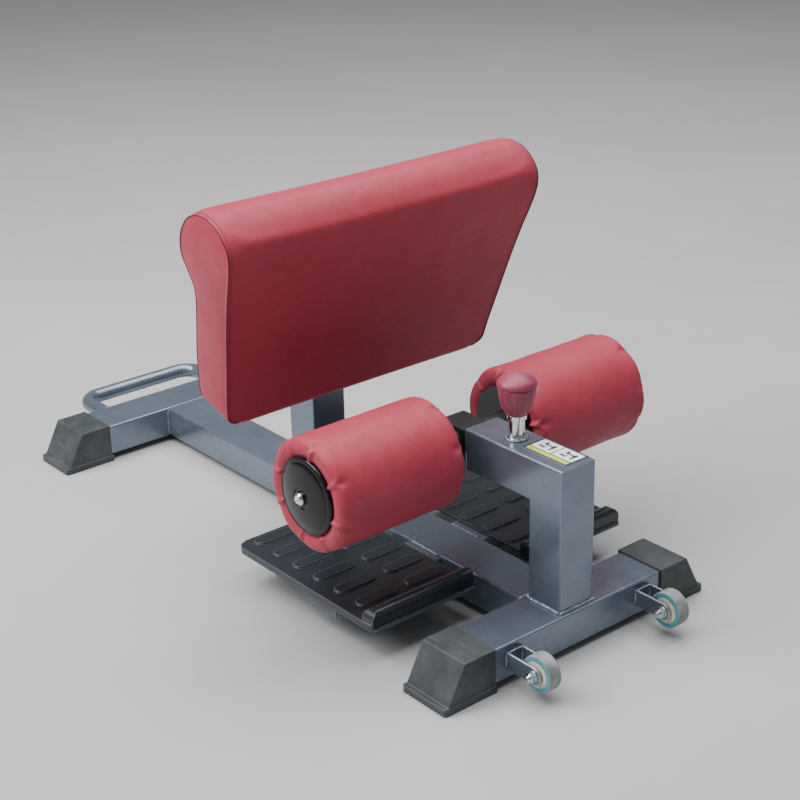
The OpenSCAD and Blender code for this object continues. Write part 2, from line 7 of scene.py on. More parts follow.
import bpy
from mathutils import Matrix, Vector, noise


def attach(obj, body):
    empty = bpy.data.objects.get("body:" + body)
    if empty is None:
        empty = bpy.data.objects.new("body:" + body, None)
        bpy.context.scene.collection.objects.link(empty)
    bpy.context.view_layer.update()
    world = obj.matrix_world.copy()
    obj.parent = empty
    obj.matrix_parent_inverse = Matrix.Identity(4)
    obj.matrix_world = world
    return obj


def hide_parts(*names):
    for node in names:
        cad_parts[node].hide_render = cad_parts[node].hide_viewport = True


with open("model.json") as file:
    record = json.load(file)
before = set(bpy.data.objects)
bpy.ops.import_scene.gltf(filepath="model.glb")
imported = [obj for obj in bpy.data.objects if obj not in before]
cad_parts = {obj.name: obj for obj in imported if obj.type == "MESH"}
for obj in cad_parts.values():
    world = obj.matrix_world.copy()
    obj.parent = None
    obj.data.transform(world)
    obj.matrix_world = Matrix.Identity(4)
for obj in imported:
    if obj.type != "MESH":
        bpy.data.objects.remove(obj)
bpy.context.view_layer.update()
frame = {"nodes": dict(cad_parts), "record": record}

MM = 0.001

# Places in millimetres, back from the front face of the front crossbar and up from the floor.
Y_MIDDLE = 514.125  # the middle of the chair's length, where the frame has its origin
ARM_MID_Z = 234
ROLLER_Y = 219
POST_FRONT = 7.5
ARM_TOP = 264
BEAM_TOP = 60

# The arm and the post meet in a mitre, along which y + z stays the same. Here are that sum, how far
# to each side the joint is shaded over, and the height that it begins at, all in metres.
MITRE_SUM = (POST_FRONT - Y_MIDDLE + ARM_TOP) * MM
MITRE_BAND = 0.005
MITRE_LOW = 0.2

CLOTH_FRAMES = 20


def side_name(side):
    """The name of the side at -x or +x."""
    return "left" if side < 0 else "right"


def place(x, y, z):
    """A point in the frame, in metres, from millimetres back from the front and up from the floor."""
    return Vector((x * MM, (y - Y_MIDDLE) * MM, z * MM))


# Meshes


def new_object(name, points, faces, smooth=True):
    """A mesh object from its points, in metres, and its faces."""
    mesh = bpy.data.meshes.new(name)
    mesh.from_pydata([tuple(p) for p in points], [], faces)
    mesh.validate()
    mesh.update()
    if smooth:
        mesh.polygons.foreach_set("use_smooth", [True] * len(mesh.polygons))
    made = bpy.data.objects.new(name, mesh)
    bpy.context.scene.collection.objects.link(made)
    return made


def loop_faces(first, second, count):
    """Quads between two rings of vertices that start at these indices."""
    following = [(i + 1) % count for i in range(count)]
    return [(first + i, first + j, second + j, second + i) for i, j in enumerate(following)]


def along(points, count, closed=False):
    """Evenly spaced points on the smooth line through the given ones."""
    fine = []
    steps = 24
    for i in range(len(points) if closed else len(points) - 1):
        near = neighbours(points, i, closed)
        fine += [spline_point(near, step / steps) for step in range(steps)]
    fine.append(points[0] if closed else points[-1])
    return spaced(fine, count, closed)


def neighbours(points, i, closed):
    """The point before a stretch, its two ends and the point after it; an open line repeats its ends."""
    size = len(points)
    if closed:
        return [points[(i + k) % size] for k in (-1, 0, 1, 2)]
    return [points[min(max(i + k, 0), size - 1)] for k in (-1, 0, 1, 2)]


def spaced(line, count, closed=False):
    """Evenly spaced points along straight pieces of line; a closed one ends where it began."""
    reach = [0.0]
    for a, b in zip(line, line[1:]):
        reach.append(reach[-1] + math.dist(a, b))
    out = []
    at = 0
    for k in range(count):
        want = reach[-1] * k / (count if closed else count - 1)
        while at < len(line) - 2 and reach[at + 1] < want:
            at += 1
        share = (want - reach[at]) / max(reach[at + 1] - reach[at], 1e-9)
        out.append(tuple(a + (b - a) * share for a, b in zip(line[at], line[at + 1])))
    return out


def spline_point(near, t):
    """The point at share t between the middle two of four points, on a Catmull-Rom curve."""
    a, b, c, d = near
    return tuple(
        0.5 * (2 * q + (r - p) * t + (2 * p - 5 * q + 4 * r - s) * t * t + (3 * q - p - 3 * r + s) * t ** 3)
        for p, q, r, s in zip(a, b, c, d)
    )


def lathe(name, profile, centre, turn, segments, radial=None):
    """A turned piece. profile is its (radius, height) points in millimetres, turn maps +Z onto its
    axis, and radial changes the radius with height and angle."""
    points = []
    for r, h in profile:
        for k in range(segments):
            angle = 2 * math.pi * k / segments
            rr = radial(r, h, angle) if radial else r
            points.append(centre + turn @ Vector((rr * math.cos(angle), rr * math.sin(angle), h)) * MM)
    faces = []
    for ring in range(len(profile) - 1):
        faces += loop_faces(ring * segments, (ring + 1) * segments, segments)
    return new_object(name, points, faces)


def smooth_by_angle(obj, degrees):
    """Smooth shading that keeps sharp edges."""
    obj.data.set_sharp_from_angle(angle=math.radians(degrees))


def subdivide(obj):
    """One smooth subdivision."""
    step = obj.modifiers.new("subdivide", "SUBSURF")
    step.levels = 1
    step.render_levels = 1
    bake(obj)


def bake(obj):
    """Replaces the mesh with what its modifiers make of it."""
    shown = obj.evaluated_get(bpy.context.evaluated_depsgraph_get())
    mesh = bpy.data.meshes.new_from_object(shown)
    obj.modifiers.clear()
    obj.data = mesh


def inflate(obj, pinned, pressure, cap):
    scene = bpy.context.scene
    rest = [v.co.copy() for v in obj.data.vertices]
    obj.vertex_groups.new(name="pinned").add(sorted(pinned), 1.0, "REPLACE")
    cloth = obj.modifiers.new("cover", "CLOTH")
    cloth.settings.quality = 6
    cloth.settings.mass = 0.25
    cloth.settings.tension_stiffness = 20
    cloth.settings.compression_stiffness = 20
    cloth.settings.shear_stiffness = 8
    cloth.settings.bending_stiffness = 4
    cloth.settings.use_pressure = True
    cloth.settings.uniform_pressure_force = pressure
    cloth.settings.effector_weights.gravity = 0
    cloth.settings.vertex_group_mass = "pinned"
    cloth.point_cache.frame_start = 1
    cloth.point_cache.frame_end = CLOTH_FRAMES
    for step in range(1, CLOTH_FRAMES + 1):
        scene.frame_set(step)
    bake(obj)
    scene.frame_set(1)
    for vertex, was in zip(obj.data.vertices, rest):
        moved = vertex.co - was
        vertex.co = was + moved * (cap / (cap + moved.length))
    obj.vertex_groups.clear()


# Materials


class Shader:
    """A Principled material and short ways to add procedural detail to it."""

    def __init__(self, name, colour, rough, metallic=0.0, **sockets):
        self.material = bpy.data.materials.new(name)
        self.material.use_nodes = True
        self.tree = self.material.node_tree
        self.bsdf = self.tree.nodes["Principled BSDF"]
        self.bsdf.inputs["Base Color"].default_value = (*colour, 1)
        self.bsdf.inputs["Roughness"].default_value = rough
        self.bsdf.inputs["Metallic"].default_value = metallic
        for key, value in sockets.items():
            self.bsdf.inputs[key.replace("_", " ")].default_value = value
        self.coordinates = self.tree.nodes.new("ShaderNodeTexCoord").outputs["Object"]
        self.normal = None

    def feed(self, slot, value):
        """Links an output to an input, or sets the input to a plain value."""
        if isinstance(value, bpy.types.NodeSocket):
            self.tree.links.new(value, slot)
        else:
            slot.default_value = value

    def node(self, kind, **sockets):
        """A new node with its inputs fed; an underscore stands for a space in an input's name."""
        made = self.tree.nodes.new(kind)
        for key, value in sockets.items():
            self.feed(made.inputs[key.replace("_", " ")], value)
        return made

    def noise(self, scale, detail=5.0, rough=0.6, stretch=(1, 1, 1)):
        """Soft noise from 0 to 1 in the piece's own coordinates."""
        spread = self.node("ShaderNodeMapping", Vector=self.coordinates, Scale=stretch)
        return self.node(
            "ShaderNodeTexNoise", Vector=spread.outputs[0], Scale=scale, Detail=detail, Roughness=rough
        ).outputs["Fac"]

    def cells(self, scale):
        """Distance from the nearest of a scatter of points."""
        return self.node("ShaderNodeTexVoronoi", Vector=self.coordinates, Scale=scale).outputs["Distance"]

    def remap(self, value, low, high, to_low=0.0, to_high=1.0):
        """Stretches low..high to to_low..to_high, and holds the value at those ends."""
        return self.node(
            "ShaderNodeMapRange", Value=value, From_Min=low, From_Max=high, To_Min=to_low, To_Max=to_high
        ).outputs[0]

    def blend(self, factor, first, second):
        """A mix of two colours, each an output or a plain (red, green, blue)."""
        made = self.tree.nodes.new("ShaderNodeMix")
        made.data_type = "RGBA"
        self.tree.links.new(factor, made.inputs[0])
        for slot, value in ((made.inputs[6], first), (made.inputs[7], second)):
            self.feed(slot, (*value, 1) if isinstance(value, tuple) else value)
        return made.outputs[2]

    def blend_normals(self, factor, first, second):
        """A mix of two normals."""
        made = self.tree.nodes.new("ShaderNodeMix")
        made.data_type = "VECTOR"
        for slot, value in ((made.inputs[0], factor), (made.inputs[4], first), (made.inputs[5], second)):
            self.feed(slot, value)
        return made.outputs[1]

    def math(self, operation, first, second):
        """Arithmetic on two values, each an output or a number."""
        made = self.node("ShaderNodeMath")
        made.operation = operation
        for slot, value in zip(made.inputs, (first, second)):
            self.feed(slot, value)
        return made.outputs[0]

    def colour(self, value):
        self.tree.links.new(value, self.bsdf.inputs["Base Color"])

    def rough(self, value):
        self.tree.links.new(value, self.bsdf.inputs["Roughness"])

    def round_edges(self, radius):
        """Shades sharp edges as if they had this radius, and returns where the edges are."""
        made = self.tree.nodes.new("ShaderNodeBevel")
        made.samples = 6
        made.inputs["Radius"].default_value = radius
        self.normal = made.outputs["Normal"]
        facing = self.tree.nodes.new("ShaderNodeNewGeometry").outputs["True Normal"]
        dot = self.tree.nodes.new("ShaderNodeVectorMath")
        dot.operation = "DOT_PRODUCT"
        self.tree.links.new(facing, dot.inputs[0])
        self.tree.links.new(self.normal, dot.inputs[1])
        return self.remap(dot.outputs["Value"], 0.99, 0.86)

    def shade_over_mitre(self, edges):
        """Hides the joint of the arm and the post, which is ground smooth. Returns the edges left."""
        split = self.node("ShaderNodeSeparateXYZ", Vector=self.coordinates).outputs
        total = self.math("ADD", split["Y"], split["Z"])
        off = self.math("ABSOLUTE", self.math("SUBTRACT", total, MITRE_SUM), 0)
        beside = self.math("LESS_THAN", off, MITRE_BAND)
        near = self.math("MULTIPLY", beside, self.math("GREATER_THAN", split["Z"], MITRE_LOW))
        plain = self.tree.nodes.new("ShaderNodeNewGeometry").outputs["Normal"]
        self.normal = self.blend_normals(near, self.normal, plain)
        return self.math("MULTIPLY", edges, self.math("SUBTRACT", 1, near))

    def bump(self, height, strength, distance):
        """Adds relief on top of whatever rounding or relief is there already."""
        made = self.node("ShaderNodeBump", Height=height, Strength=strength, Distance=distance)
        if self.normal is not None:
            self.tree.links.new(self.normal, made.inputs["Normal"])
        self.normal = made.outputs["Normal"]
        self.tree.links.new(self.normal, self.bsdf.inputs["Normal"])


def painted_metal(name, colour, light, rough, metallic, edge_radius, coat, smooth_joint=False):
    """Powder coat: orange peel, fine speckle, slight unevenness, and edges painted toward light, partly as
    edge wear and partly as a painted highlight.
    """
    s = Shader(name, colour, rough, metallic, Coat_Weight=coat, Coat_Roughness=0.14)
    edges = s.round_edges(edge_radius)
    if smooth_joint:
        edges = s.shade_over_mitre(edges)
    uneven = s.remap(s.noise(9, 4), 0.35, 0.7)
    speckle = s.remap(s.noise(900, 2), 0.45, 0.7, 0, 0.03)
    dark = tuple(c * 0.86 for c in colour)
    tone = s.blend(uneven, dark, tuple(c * 1.1 for c in colour))
    tone = s.blend(speckle, tone, light)
    # Edges painted toward light: partly edge wear, partly a painted highlight.
    s.colour(s.blend(s.remap(edges, 0, 1, 0, 0.85), tone, light))
    s.rough(s.remap(s.noise(30, 3), 0.3, 0.7, rough - 0.04, rough + 0.06))
    s.bump(s.noise(420, 2), 0.03, 0.0002)
    s.bump(s.noise(30, 2), 0.04, 0.0008)
    return s.material


def leather(name, colour, deep, pale):
    """Artificial leather: fine pebbled grain, soft mottling, and a dull sheen."""
    s = Shader(name, colour, 0.45, Sheen_Weight=0.03, Sheen_Roughness=0.4, Specular_IOR_Level=0.22)
    mottle = s.remap(s.noise(11, 6, 0.65), 0.36, 0.66, 0, 0.4)
    fine = s.remap(s.noise(75, 4), 0.35, 0.7)
    tone = s.blend(mottle, colour, deep)
    tone = s.blend(s.remap(fine, 0, 1, 0, 0.16), tone, pale)
    grain = s.cells(620)
    s.colour(s.blend(s.remap(grain, 0.25, 0.65, 0, 0.25), tone, deep))
    s.rough(s.remap(s.noise(30, 5), 0.3, 0.7, 0.37, 0.54))
    s.bump(s.noise(20, 3, 0.5), 0.08, 0.0022)
    s.bump(grain, 0.12, 0.0005)
    s.bump(s.noise(1500, 2), 0.1, 0.0002)
    return s.material


def rubber(name, colour, dust_and_highlight):
    """Moulded rubber with a dusty bloom, scuffs and rounded edges, the edges painted paler as a painted
    highlight.
    """
    s = Shader(name, colour, 0.45)
    edges = s.round_edges(0.003)
    dust = s.remap(s.noise(14, 7, 0.7), 0.42, 0.72, 0, 0.45)
    scuffs = s.remap(s.noise(90, 3, 0.7, (1, 0.18, 1)), 0.6, 0.72, 0, 0.4)
    tone = s.blend(dust, colour, dust_and_highlight)
    tone = s.blend(scuffs, tone, dust_and_highlight)
    # Edges painted toward the dust colour: a painted highlight.
    s.colour(s.blend(s.remap(edges, 0, 1, 0, 0.5), tone, dust_and_highlight))
    s.rough(s.remap(s.noise(50, 4), 0.3, 0.7, 0.36, 0.58))
    s.bump(s.noise(900, 3), 0.2, 0.0004)
    s.bump(s.noise(35, 3), 0.12, 0.0012)
    return s.material


def plastic(name, colour, pale, rough, edge_radius=0.001, ior=1.45):
    """Moulded plastic: faint flow marks, fine scratches and rounded edges, the edges painted toward pale as
    a painted highlight.
    """
    s = Shader(name, colour, rough, IOR=ior)
    edges = s.round_edges(edge_radius)
    marks = s.remap(s.noise(24, 5), 0.4, 0.7, 0, 0.35)
    tone = s.blend(marks, colour, pale)
    # Edges painted toward pale: a painted highlight, and painted shade where pale is darker than the
    # colour, as on the label.
    s.colour(s.blend(s.remap(edges, 0, 1, 0, 0.4), tone, pale))
    scratches = s.noise(380, 3, 0.7, (1, 0.06, 1))
    s.rough(s.remap(scratches, 0.35, 0.7, rough, rough + 0.16))
    s.bump(s.noise(1100, 2), 0.06, 0.0003)
    return s.material


def bare_metal(name, colour, dull, rough, grain=(1, 1, 1)):
    """Plated or plain steel: cloudy plating, fine grain and edges painted bright as a painted highlight."""
    s = Shader(name, colour, rough, 1.0)
    edges = s.round_edges(0.0006)
    cloud = s.remap(s.noise(70, 6, 0.7), 0.35, 0.7, 0, 0.6)
    tone = s.blend(cloud, colour, dull)
    # Edges painted near white: a painted highlight.
    s.colour(s.blend(s.remap(edges, 0, 1, 0, 0.5), tone, (0.85, 0.86, 0.88)))
    s.rough(s.remap(s.noise(420, 4, 0.6, grain), 0.3, 0.7, rough * 0.75, rough * 1.5))
    s.bump(s.noise(1300, 3, 0.6, grain), 0.08, 0.0002)
    return s.material


def plywood(name):
    """Bare plywood, with its grain along the pad."""
    s = Shader(name, (0.55, 0.4, 0.24), 0.7)
    s.round_edges(0.0008)
    grain = s.noise(60, 8, 0.65, (0.12, 1, 1))
    plies = s.remap(s.noise(240, 2, 0.5, (0.02, 1, 0.1)), 0.35, 0.65, 0, 0.5)
    tone = s.blend(s.remap(grain, 0.3, 0.7), (0.36, 0.23, 0.12), (0.62, 0.46, 0.29))
    s.colour(s.blend(plies, tone, (0.3, 0.18, 0.09)))
    s.rough(s.remap(grain, 0.3, 0.7, 0.6, 0.8))
    s.bump(grain, 0.2, 0.0005)
    return s.material


def welded(name):
    """Paint over weld ripples, lighter than the tube's paint and with lighter spots, painted glints of the
    ripples.
    """
    s = Shader(name, (0.2, 0.23, 0.28), 0.36, 0.6, Coat_Weight=0.3, Coat_Roughness=0.2)
    spots = s.remap(s.noise(340, 4), 0.4, 0.75)
    # Lighter colour and lighter spots on the bead: painted glints.
    s.colour(s.blend(spots, (0.13, 0.155, 0.2), (0.36, 0.4, 0.46)))
    s.rough(s.remap(s.noise(200, 3), 0.3, 0.7, 0.26, 0.46))
    s.bump(s.noise(420, 4), 0.25, 0.0006)
    return s.material


def rubber_tread(name):
    """Soft grey rubber, worn paler in places."""
    s = Shader(name, (0.25, 0.27, 0.27), 0.62)
    s.round_edges(0.0012)
    worn = s.remap(s.noise(60, 5), 0.35, 0.7)
    s.colour(s.blend(worn, (0.17, 0.19, 0.19), (0.34, 0.36, 0.36)))
    s.rough(s.remap(s.noise(120, 4), 0.3, 0.7, 0.5, 0.72))
    s.bump(s.noise(700, 3), 0.2, 0.0004)
    return s.material


def make_materials():
    """One material for each of the record's slots: its kind, its colours, then that kind's numbers."""
    recipes = {
        # A painted metal's second colour is used for its speckle and for the painted highlight on its
        # edges.
        "frame_paint": (
            painted_metal, (0.165, 0.2, 0.265), (0.72, 0.78, 0.88), 0.25, 0.6, 0.0026, 0.45, True
        ),
        "weld_bead": (welded,),
        "plate_black": (painted_metal, (0.02, 0.026, 0.031), (0.16, 0.18, 0.2), 0.27, 0.0, 0.0022, 0.15),
        "foot_rubber": (rubber, (0.032, 0.038, 0.042), (0.12, 0.135, 0.145)),
        "plug_grey": (plastic, (0.1, 0.11, 0.115), (0.2, 0.22, 0.22), 0.5, 0.0015),
        "red_leather": (leather, (0.44, 0.052, 0.08), (0.32, 0.03, 0.05), (0.56, 0.12, 0.16)),
        "plywood": (plywood,),
        "zinc_steel": (bare_metal, (0.6, 0.61, 0.63), (0.42, 0.43, 0.46), 0.3, (1, 0.15, 1)),
        "bright_chrome": (bare_metal, (0.76, 0.77, 0.79), (0.62, 0.63, 0.66), 0.12),
        "black_gloss": (plastic, (0.004, 0.004, 0.005), (0.012, 0.012, 0.014), 0.08, 0.0012, 1.38),
        "black_plastic": (plastic, (0.018, 0.018, 0.02), (0.05, 0.05, 0.052), 0.42, 0.0012),
        "slider_black": (painted_metal, (0.01, 0.012, 0.015), (0.1, 0.11, 0.12), 0.5, 0.0, 0.0015, 0.03),
        "core_steel": (bare_metal, (0.5, 0.51, 0.53), (0.36, 0.37, 0.4), 0.38, (0.1, 1, 1)),
        "knob_maroon": (plastic, (0.27, 0.035, 0.075), (0.42, 0.1, 0.15), 0.34),
        # Its pale colour is darker, so its edges get painted shade.
        "label_white": (plastic, (0.8, 0.81, 0.82), (0.7, 0.71, 0.72), 0.35, 0.0003),
        "tyre_grey": (rubber_tread,),
        "ring_teal": (plastic, (0.06, 0.3, 0.36), (0.12, 0.42, 0.47), 0.4),
        "hub_cream": (plastic, (0.66, 0.6, 0.44), (0.76, 0.72, 0.58), 0.42),
    }
    return {slot: kind(slot, *values) for slot, (kind, *values) in recipes.items()}


def paint(obj, slot):
    """Gives a piece the material of one of the record's slots."""
    obj.data.materials.clear()
    obj.data.materials.append(materials[slot])
    return obj


def paint_cad_nodes():
    """Gives every CAD node the material of its slot."""
    for part in frame["record"]["subparts"]:
        node = frame["nodes"][part["node"]]
        node.data.materials.clear()
        node.data.materials.append(materials[part["material_slot"]])


# Calf pad

# The pad has its own u, up along its face, and v, back through its thickness, both in millimetres.
PAD_Y = 443
PAD_Z = 243
PAD_LEAN = math.radians(18)

# The end seam as (v, u), up the front, over the top and down the back.
PAD_SEAM = [
    (6, -1), (7, 40), (7.6, 81), (8.5, 150), (7.6, 200), (5.4, 234), (4.6, 258), (7, 276), (13.5, 289),
    (26, 299), (43, 306), (64, 307), (86, 300), (103, 286), (113, 268), (117.5, 250), (117, 234),
    (113, 221), (104, 210), (94.5, 200), (85.5, 189), (81, 174), (80, 151), (80, 82), (77, 40), (72, 10),
    (59.5, -2.5), (38, -4.5), (20, -4),
]
SEAM_FRONT_POINTS = 13

# Half the width at the bottom, what it gains with height, and how far its corners are rounded.
PAD_HALF = 233
PAD_FLARE = 0.14
PAD_CORNER = 15
PAD_TOP_ROUND = 6
TOP_ROUND_FROM = 225
TOP_ROUND_SPAN = 90

# The line up the middle of the pad's end, away from which the padding pushes.
SPINE_LOW = 38
SPINE_HIGH = 272
SPINE_V = 39
SPINE_BACK = 10

# How far the padding pushes the cover out, and what it adds upwards and at the back of the roll,
# which begins at ROLL_FROM. Below it, nothing is pushed out behind PAD_BACK_FROM, where the board is.
FULL = 3.0
FULL_UP = 5.5
FULL_BACK = 2.0
ROLL_FROM = 205
PAD_BACK_FROM = 60

# Stations across the cover, points round it, columns of an end panel, and how far a panel bulges.
PAD_STATIONS = 85
PAD_LOOP = 132
PANEL_COLUMNS = 9
PANEL_BULGE = 3.5

# The plywood on the pad's back.
BOARD_BACK = 76
BOARD_TOP = 196
BOARD_LOW = 12

# How far the stitches lie from the end seam, and half their thickness.
STITCH_INSET = 3.8
STITCH_RADIUS = 0.45


def pad_place(x, u, v):
    """A point on the pad: u runs up its face and v back through its thickness."""
    return place(
        x,
        PAD_Y - u * math.sin(PAD_LEAN) + v * math.cos(PAD_LEAN),
        PAD_Z + u * math.cos(PAD_LEAN) + v * math.sin(PAD_LEAN),
    )


def pad_half(u):
    """Half the pad's width at this height, with its lower corners rounded and its top eased in."""
    near = max(PAD_CORNER - max(u, 0), 0)
    rounded = PAD_TOP_ROUND * (max(u - TOP_ROUND_FROM, 0) / TOP_ROUND_SPAN) ** 2
    return PAD_HALF + PAD_FLARE * u - PAD_CORNER + math.sqrt(PAD_CORNER**2 - near**2) - rounded


def pad_spine(u):
    """The point on the spine at this height, as (v, u)."""
    at = min(max(u, SPINE_LOW), SPINE_HIGH)
    return SPINE_V + (at - SPINE_LOW) / (SPINE_HIGH - SPINE_LOW) * SPINE_BACK, at


def pad_share(k):
    """Where a station is across the pad, from -1 to 1, with more of them near the end seams."""
    even = 2 * k / (PAD_STATIONS - 1) - 1
    return 0.6 * even + 0.4 * math.sin(even * math.pi / 2)


def pad_swell(share):
    """How much of its fullness the cover has, from 0 at an end seam to 1 in the middle."""
    edge = min(1.0, (1 - abs(share)) * 8.0)
    return math.sqrt(1 - (1 - edge) ** 2) * (0.93 + 0.07 * math.cos(share * math.pi / 2))


def pad_body_point(share, v, u, lift=0.0):
    """One point of the cover between the end seams, pushed out by the padding and then by lift."""
    spine_v, spine_u = pad_spine(u)
    out_v, out_u = v - spine_v, u - spine_u
    size = math.hypot(out_v, out_u)
    up = max(out_u / size, 0)
    on_roll = u > ROLL_FROM
    back = max(out_v / size, 0) if on_roll else 0
    full = (FULL + FULL_UP * up + FULL_BACK * back) * pad_swell(share)
    if v > PAD_BACK_FROM and not on_roll:
        full = 0
    full += lift
    v += out_v / size * full
    u += out_u / size * full
    v += (min(v, pad_back(u)) - v) * board_share(share, u)
    return pad_place(share * pad_half(u), u, v)


def pad_back(u):
    """How far back the cover may reach between the ends, so that the board stays bare."""
    return BOARD_BACK - 0.6 + 1.2 * max(u - BOARD_TOP + 4, 0)


def board_share(share, u):
    """0 beside an end seam, rising to 1 where the board begins."""
    return min(max(((1 - abs(share)) * pad_half(u) - 5) / 8, 0), 1)


def pad_end_panel(cover_points, first, seam, side):
    """Rows across the end panel from its front seam to its back seam: (new points, faces)."""
    count = len(seam)
    half = count // 2
    low = min(range(count), key=lambda k: abs(seam[k][0] - SPINE_V) + 9 * abs(seam[k][1] + 5))
    points, faces = [], []
    last = [first + low]
    for row in range(1, half + 1):
        front, back = (low + row) % count, (low - row) % count
        if row < half:
            start = len(cover_points) + len(points)
            points += pad_end_row(seam[front], seam[back], side, row / half)
            line = [first + front, *range(start, start + PANEL_COLUMNS), first + back]
        else:
            line = [first + front]
        faces += strip(last, line)
        last = line
    return points, faces if side > 0 else [f[::-1] for f in faces]


def pad_end_row(front, back, side, height):
    """Points between two facing points of the end seam, pushed outwards in the middle."""
    row = []
    for column in range(1, PANEL_COLUMNS + 1):
        across = column / (PANEL_COLUMNS + 1)
        v = front[0] + (back[0] - front[0]) * across
        u = front[1] + (back[1] - front[1]) * across
        round_off = math.sin(math.pi * across) ** 0.5 * min(1, 8 * height, 8 * (1 - height))
        row.append(pad_place(side * (pad_half(u) + PANEL_BULGE * round_off), u, v))
    return row


def strip(low, high):
    """Faces between two rows of vertices; either row may be a single vertex."""
    if len(low) == 1:
        return [(low[0], b, a) for a, b in zip(high, high[1:])]
    if len(high) == 1:
        return [(a, b, high[0]) for a, b in zip(low, low[1:])]
    return [(a, b, d, c) for a, b, c, d in zip(low, low[1:], high, high[1:])]


def pad_cover():
    """Leather over the pad: one piece over the front, top and back, and a panel at each end."""
    seam = along(PAD_SEAM, PAD_LOOP, closed=True)
    shares = [pad_share(k) for k in range(PAD_STATIONS)]
    points = [pad_body_point(share, v, u) for share in shares for v, u in seam]
    starts = range(0, len(points), PAD_LOOP)
    faces = []
    for first, second in zip(starts, starts[1:]):
        faces += loop_faces(first, second, PAD_LOOP)
    for side, first in ((-1, starts[0]), (1, starts[-1])):
        panel_points, panel_faces = pad_end_panel(points, first, seam, side)
        points += panel_points
        faces += panel_faces
    cover = new_object("pad_cover", points, faces)
    inflate(cover, pad_pins(cover), pressure=4.0, cap=0.004)
    subdivide(cover)
    return cover


def pad_pins(cover):
    """The vertices held by the end seams and by the board on the back."""
    held = []
    for vertex in cover.data.vertices:
        x, u, v = pad_local(vertex.co)
        edge = pad_half(u) - abs(x)
        if abs(edge) < 0.4 or (v > 70 and BOARD_LOW < u < BOARD_TOP):
            held.append(vertex.index)
    return held


def pad_local(co):
    """(x, u, v) in millimetres of a point given in the frame's metres."""
    y = co.y / MM + Y_MIDDLE - PAD_Y
    z = co.z / MM - PAD_Z
    u = -y * math.sin(PAD_LEAN) + z * math.cos(PAD_LEAN)
    v = y * math.cos(PAD_LEAN) + z * math.sin(PAD_LEAN)
    return co.x / MM, u, v


def pad_seam_cord(side):
    """The folded edge of leather that stands along an end seam."""
    seam = along(PAD_SEAM, 260, closed=True)
    path = [pad_place(side * (pad_half(u) - 0.1), u, v) for v, u in seam]
    return tube("pad_seam_" + side_name(side), path, 0.9 * MM, 8, True)


def pad_stitches(side):
    """A row of stitches on the front, just in from the end seam."""
    seam = along(PAD_SEAM[:SEAM_FRONT_POINTS], 84)
    points, faces = [], []
    for a, b in zip(seam, seam[1:]):
        stitch(points, faces, a, b, side)
    return new_object("pad_stitches_" + side_name(side), points, faces)


def stitch(points, faces, a, b, side):
    """One stitch as a short six-sided spindle lying on the cover between a and b."""
    ends = []
    for share in (0.16, 0.5, 0.84):
        v = a[0] + (b[0] - a[0]) * share
        u = a[1] + (b[1] - a[1]) * share
        lift = 0.5 if share == 0.5 else 0.1
        ends.append(pad_body_point(side * (1 - STITCH_INSET / pad_half(u)), v, u, lift))
    first = len(points)
    across = Vector((1, 0, 0))
    other = (ends[2] - ends[0]).normalized().cross(across).normalized()
    for end, radius in zip(ends, (0.35, 1.0, 0.35)):
        for k in range(6):
            angle = math.pi * k / 3
            out = across * math.cos(angle) + other * math.sin(angle)
            points.append(end + out * (STITCH_RADIUS * MM) * radius)
    for ring in range(2):
        faces += loop_faces(first + ring * 6, first + (ring + 1) * 6, 6)
    faces.append(tuple(first + k for k in range(6))[::-1])
    faces.append(tuple(first + 12 + k for k in range(6)))


def build_pad():
    """The pad's cover with its seam cords and stitches."""
    cover = paint(pad_cover(), "red_leather")
    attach(cover, "base")
    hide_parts("pad_cushion")
    thread = leather("thread", (0.16, 0.015, 0.025), (0.09, 0.008, 0.014), (0.24, 0.03, 0.045))
    for side in (-1, 1):
        for piece in (pad_seam_cord(side), pad_stitches(side)):
            piece.data.materials.append(thread)
            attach(piece, "base")


def tube(name, path, radius, sides, closed, swell=None):
    """A round bar along a path of points. swell gives the radius's factor at each point."""
    points, faces = [], []
    count = len(path)
    side_way = None
    for k, centre in enumerate(path):
        before = path[k - 1] if closed or k else path[k]
        after = path[(k + 1) % count] if closed or k < count - 1 else path[k]
        forward = (after - before).normalized()
        if side_way is None:
            side_way = forward.cross(Vector((0, 0, 1)))
            if side_way.length < 0.1:
                side_way = forward.cross(Vector((0, 1, 0)))
        side_way = (side_way - forward * side_way.dot(forward)).normalized()
        up = forward.cross(side_way)
        r = radius * (swell(k) if swell else 1)
        for n in range(sides):
            angle = 2 * math.pi * n / sides
            points.append(centre + (side_way * math.cos(angle) + up * math.sin(angle)) * r)
    for k in range(count if closed else count - 1):
        faces += loop_faces(k * sides, ((k + 1) % count) * sides, sides)
    if not closed:
        faces.append(tuple(range(sides))[::-1])
        faces.append(tuple((count - 1) * sides + n for n in range(sides)))
    return new_object(name, points, faces)


# Ankle rollers

ROLLER_R = 76.5
ROLLER_IN = 70
ROLLER_OUT = 270
ROLLER_SIDES = 128
CAP_R = 52.5

# The gathers round a roller's end as (angle, strength), and how the leather lies at and between them.
PLEATS = [
    (0.10, 0.9), (0.83, 1.1), (1.62, 0.8), (2.33, 1.15), (3.14, 0.9), (3.98, 1.05), (4.74, 1.0), (5.5, 0.85)
]
PLEAT_WIDTH = 0.055
PLEAT_DIP = 5.0
PLEAT_PULL = 6.5
PUFF_ROUND = 1.2
PUFF_OUT = 3.4


def pleat_shift(end, side):
    """How far the pleats of a roller's end are turned, so that no two ends are alike."""
    return 0.35 * end + 0.9 * side


